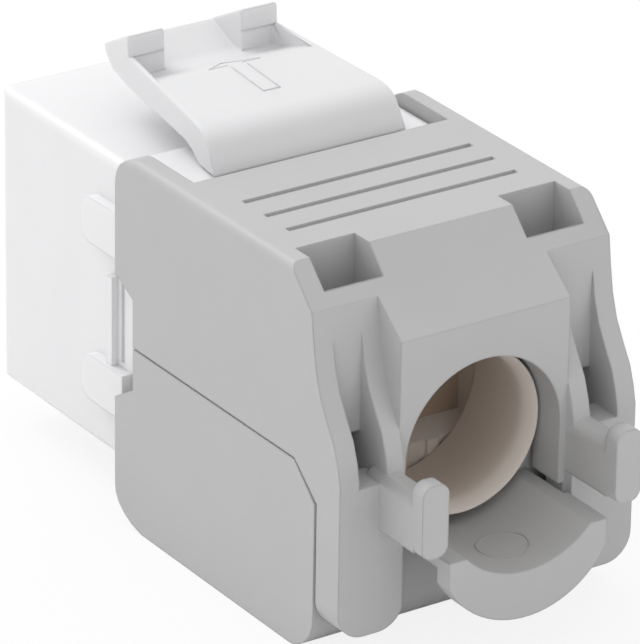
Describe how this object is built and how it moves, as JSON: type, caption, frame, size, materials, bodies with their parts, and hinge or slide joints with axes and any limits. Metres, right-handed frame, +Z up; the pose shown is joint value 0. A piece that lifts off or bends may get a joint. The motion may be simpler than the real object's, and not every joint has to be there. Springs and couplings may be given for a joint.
{
  "type": "keystone jack",
  "caption": "Tool-free keystone jack: white plug-port housing with spring latch, grey hinged rear covers with hooks and a trough, round cable entry.",
  "frame": {"origin": "middle of the lower edge of the plug port's face, where the module meets the panel opening's lower edge", "axes": "+Z up, the plug port faces -Y, the cable enters from the +Y side, +X is the side to the left of someone facing the cable end"},
  "size_m": [0.0172, 0.0367, 0.0232],
  "materials": {
    "white_plastic": "smooth moulded white",
    "grey_plastic": "fine satin moulded light grey",
    "ivory_plastic": "smooth moulded ivory",
    "carrier_plastic": "smooth moulded natural",
    "board_green": "green solder-masked laminate",
    "gold_plated": "gold-plated spring wire",
    "tinned_bronze": "tin-plated stamped blade"
  },
  "bodies": {
    "housing": {"jack_housing": "white_plastic", "contact_carrier": "carrier_plastic", "contact_1": "gold_plated", "contact_2": "gold_plated", "contact_3": "gold_plated", "contact_4": "gold_plated", "contact_5": "gold_plated", "contact_6": "gold_plated", "contact_7": "gold_plated", "contact_8": "gold_plated", "circuit_board": "board_green", "idc_block": "carrier_plastic", "idc_blade_1": "tinned_bronze", "idc_blade_2": "tinned_bronze", "idc_blade_3": "tinned_bronze", "idc_blade_4": "tinned_bronze", "idc_blade_5": "tinned_bronze", "idc_blade_6": "tinned_bronze", "idc_blade_7": "tinned_bronze", "idc_blade_8": "tinned_bronze", "wire_manager": "ivory_plastic"},
    "latch": {"latch_lever": "white_plastic"},
    "upper": {"upper_cover": "grey_plastic"},
    "lower": {"lower_cover": "grey_plastic"}
  },
  "joints": [
    {"name": "latch_press", "type": "hinge", "parent": "housing", "child": "latch", "pos_m": [0, 0.0162, 0.0169], "axis": [1, 0, 0], "range_deg": [0, 9], "stiffness_Nm_per_rad": 0.02},
    {"name": "upper_cover_open", "type": "hinge", "parent": "housing", "child": "upper", "pos_m": [0, 0.0141, 0.0146], "axis": [1, 0, 0], "range_deg": [0, 30]},
    {"name": "lower_cover_open", "type": "hinge", "parent": "housing", "child": "lower", "pos_m": [0, 0.0141, 0.0042], "axis": [-1, 0, 0], "range_deg": [0, 30]}
  ]
}
